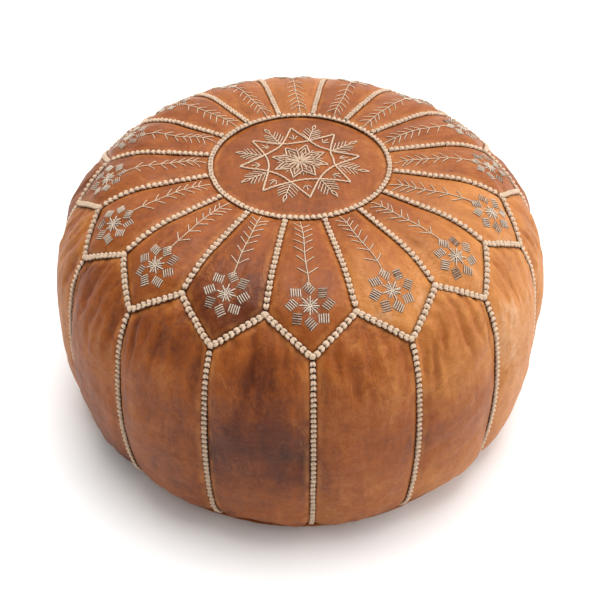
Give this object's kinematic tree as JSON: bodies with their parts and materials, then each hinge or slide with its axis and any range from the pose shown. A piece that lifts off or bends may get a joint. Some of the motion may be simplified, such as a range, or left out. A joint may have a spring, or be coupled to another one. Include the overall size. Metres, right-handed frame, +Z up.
{
  "type": "leather pouf",
  "caption": "Round stuffed floor pouf of stitched leather panels with plaited seams, embroidered petals round a central medallion, and a zip in the base.",
  "frame": {"origin": "centre of the base, on the surface that the pouf stands on", "axes": "+Z up along the pouf's axis; -Y towards the front, where one petal points; the zip runs along X and closes towards +X"},
  "size_m": [0.5586, 0.5586, 0.3009],
  "materials": {
    "leather_top": "satin",
    "leather_side": "satin",
    "leather_base": "matte",
    "leather_welt": "satin",
    "braid_cord": "satin",
    "embroidery_thread": "satin",
    "flower_thread": "satin",
    "zip_tape": "matte",
    "zip_metal": "satin",
    "liner_cotton": "matte",
    "wadding": "matte"
  },
  "bodies": {
    "cover": {"top_medallion": "leather_top", "petal_panel_01": "leather_top", "petal_panel_02": "leather_top", "petal_panel_03": "leather_top", "petal_panel_04": "leather_top", "petal_panel_05": "leather_top", "petal_panel_06": "leather_top", "petal_panel_07": "leather_top", "petal_panel_08": "leather_top", "petal_panel_09": "leather_top", "petal_panel_10": "leather_top", "petal_panel_11": "leather_top", "petal_panel_12": "leather_top", "petal_panel_13": "leather_top", "petal_panel_14": "leather_top", "petal_panel_15": "leather_top", "petal_panel_16": "leather_top", "side_panel_01": "leather_side", "side_panel_02": "leather_side", "side_panel_03": "leather_side", "side_panel_04": "leather_side", "side_panel_05": "leather_side", "side_panel_06": "leather_side", "side_panel_07": "leather_side", "side_panel_08": "leather_side", "side_panel_09": "leather_side", "side_panel_10": "leather_side", "side_panel_11": "leather_side", "side_panel_12": "leather_side", "side_panel_13": "leather_side", "side_panel_14": "leather_side", "side_panel_15": "leather_side", "side_panel_16": "leather_side", "medallion_braid": "braid_cord", "radial_braids": "braid_cord", "zigzag_braid": "braid_cord", "side_braids": "braid_cord", "medallion_embroidery": "embroidery_thread", "petal_stem_embroidery": "embroidery_thread", "petal_flower_embroidery": "flower_thread", "base_panel_front": "leather_base", "base_panel_back": "leather_base", "base_welt": "leather_welt", "zip_tape_front": "zip_tape", "zip_tape_back": "zip_tape", "zip_teeth_front": "zip_metal", "zip_teeth_back": "zip_metal", "zip_top_stops": "zip_metal", "zip_bottom_stop": "zip_metal", "inner_liner": "liner_cotton", "stuffing": "wadding"},
    "slider": {"zip_slider": "zip_metal"},
    "pull": {"zip_pull": "zip_metal"}
  },
  "joints": [
    {"name": "zip_slide", "type": "slide", "parent": "cover", "child": "slider", "axis": [1, 0, 0], "range_m": [-0.328, 0], "deforming": ["zip_teeth_front", "zip_teeth_back"]},
    {"name": "pull_swing", "type": "hinge", "parent": "slider", "child": "pull", "pos_m": [0.172, 0, 0.0016], "axis": [0, -1, 0], "range_deg": [0, 170]}
  ]
}
